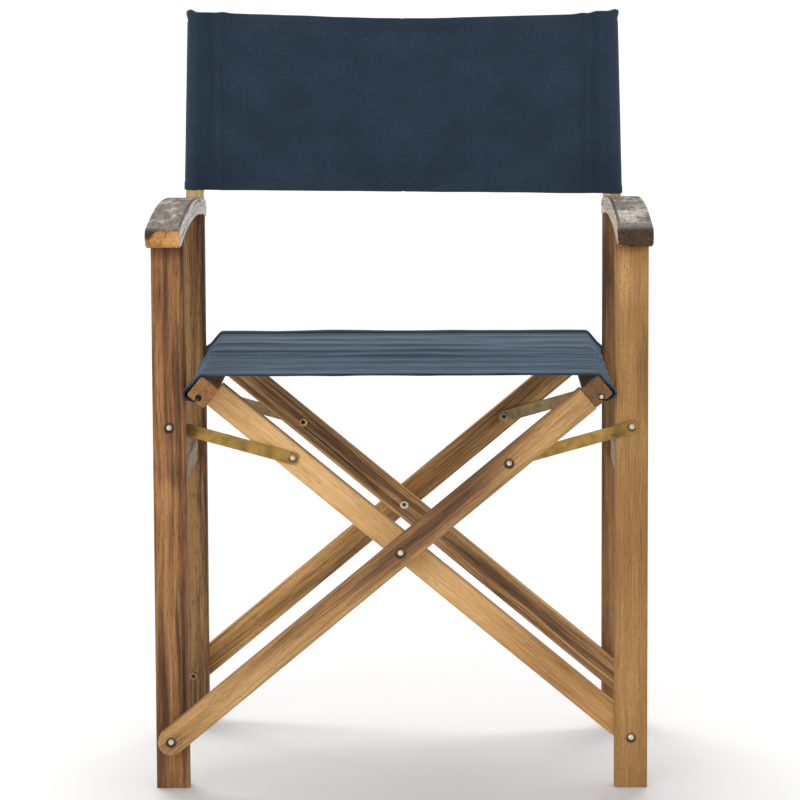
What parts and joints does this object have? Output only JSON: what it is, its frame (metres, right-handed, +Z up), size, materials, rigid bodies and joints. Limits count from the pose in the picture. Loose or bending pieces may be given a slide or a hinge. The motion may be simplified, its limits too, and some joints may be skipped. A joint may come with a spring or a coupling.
{
  "type": "folding director chair",
  "caption": "Folding wooden director chair with crossed braces, curved armrests, and a canvas seat and back.",
  "frame": {"origin": "centre of the chair's footprint, on the floor", "axes": "+X to the chair's right as seen from the front, +Y from the front to the back, +Z up"},
  "size_m": [0.562, 0.47, 0.8643],
  "materials": {
    "leg_wood": "oiled hardwood with long brown grain, light and dark streaks",
    "brace_wood": "oiled hardwood, paler, with fine straight grain",
    "rail_wood": "oiled hardwood, reddish brown",
    "arm_wood": "weathered hardwood, greyed on top, orange at the nose",
    "brass": "dull yellow-plated steel with light scratches",
    "steel": "plated steel, slightly worn",
    "canvas": "navy plain-weave polyester canvas, matt"
  },
  "bodies": {
    "left_frame": {"left_front_leg": "leg_wood", "left_rear_leg": "leg_wood", "left_stretcher": "leg_wood", "left_armrest": "arm_wood", "left_back_post": "brace_wood", "left_joint_dowels": "brace_wood", "left_pivot_bolts": "steel", "left_link_screws": "steel", "back_canvas": "canvas"},
    "outer_braces": {"front_outer_brace": "brace_wood", "rear_outer_brace": "brace_wood", "right_seat_rail": "rail_wood", "right_hem_rod": "steel", "right_rail_dowels": "brace_wood", "centre_pivot_bolts": "brass", "centre_spacers": "steel", "outer_link_bolts": "steel", "seat_canvas": "canvas"},
    "inner_braces": {"front_inner_brace": "brace_wood", "rear_inner_brace": "brace_wood", "left_seat_rail": "rail_wood", "left_hem_rod": "steel", "left_rail_dowels": "brace_wood", "inner_link_bolts": "steel"},
    "right_frame": {"right_front_leg": "leg_wood", "right_rear_leg": "leg_wood", "right_stretcher": "leg_wood", "right_armrest": "arm_wood", "right_back_post": "brace_wood", "right_joint_dowels": "brace_wood", "right_pivot_bolts": "steel", "right_link_screws": "steel"},
    "front_left_link": {"front_left_link": "brass", "front_left_rivet": "brass"},
    "front_right_link": {"front_right_link": "brass", "front_right_rivet": "brass"},
    "rear_left_link": {"rear_left_link": "brass", "rear_left_rivet": "brass"},
    "rear_right_link": {"rear_right_link": "brass", "rear_right_rivet": "brass"},
    "left_sleeve": {"left_sleeve": "canvas"},
    "right_sleeve": {"right_sleeve": "canvas"}
  },
  "joints": [
    {"name": "fold", "type": "hinge", "parent": "left_frame", "child": "outer_braces", "pos_m": [-0.259, 0, 0.057], "axis": [0, -1, 0], "range_deg": [0, 41], "deforming": ["back_canvas"]},
    {"name": "centre_pivot", "type": "hinge", "parent": "outer_braces", "child": "inner_braces", "pos_m": [0, 0, 0.272], "axis": [0, 1, 0], "range_deg": [0, 89], "deforming": ["seat_canvas"]},
    {"name": "right_foot_pivot", "type": "hinge", "parent": "inner_braces", "child": "right_frame", "pos_m": [0.259, 0, 0.057], "axis": [0, -1, 0], "range_deg": [0, 42]},
    {"name": "front_left_link_pivot", "type": "hinge", "parent": "left_frame", "child": "front_left_link", "pos_m": [-0.259, 0, 0.411], "axis": [0, -1, 0], "range_deg": [0, 88]},
    {"name": "front_right_link_pivot", "type": "hinge", "parent": "right_frame", "child": "front_right_link", "pos_m": [0.259, 0, 0.411], "axis": [0, 1, 0], "range_deg": [0, 88]},
    {"name": "rear_left_link_pivot", "type": "hinge", "parent": "left_frame", "child": "rear_left_link", "pos_m": [-0.259, 0, 0.411], "axis": [0, -1, 0], "range_deg": [0, 88]},
    {"name": "rear_right_link_pivot", "type": "hinge", "parent": "right_frame", "child": "rear_right_link", "pos_m": [0.259, 0, 0.411], "axis": [0, 1, 0], "range_deg": [0, 88]},
    {"name": "left_sleeve_pivot", "type": "hinge", "parent": "left_frame", "child": "left_sleeve", "pos_m": [-0.252, 0.1845, 0.64177], "axis": [0.0262, 0, 0.9997], "range_deg": [0, 108]},
    {"name": "right_sleeve_pivot", "type": "hinge", "parent": "right_frame", "child": "right_sleeve", "pos_m": [0.252, 0.1845, 0.64177], "axis": [0.0262, 0, -0.9997], "range_deg": [0, 108]}
  ],
  "couplings": [
    {"joint": "centre_pivot", "follows": "fold", "ratio": 2.1505},
    {"joint": "right_foot_pivot", "follows": "fold", "ratio": 1},
    {"joint": "front_left_link_pivot", "follows": "fold", "ratio": 2.1189},
    {"joint": "front_right_link_pivot", "follows": "fold", "ratio": 2.1189},
    {"joint": "rear_left_link_pivot", "follows": "fold", "ratio": 2.1189},
    {"joint": "rear_right_link_pivot", "follows": "fold", "ratio": 2.1189},
    {"joint": "left_sleeve_pivot", "follows": "fold", "ratio": 2.6098},
    {"joint": "right_sleeve_pivot", "follows": "fold", "ratio": 2.6098}
  ]
}
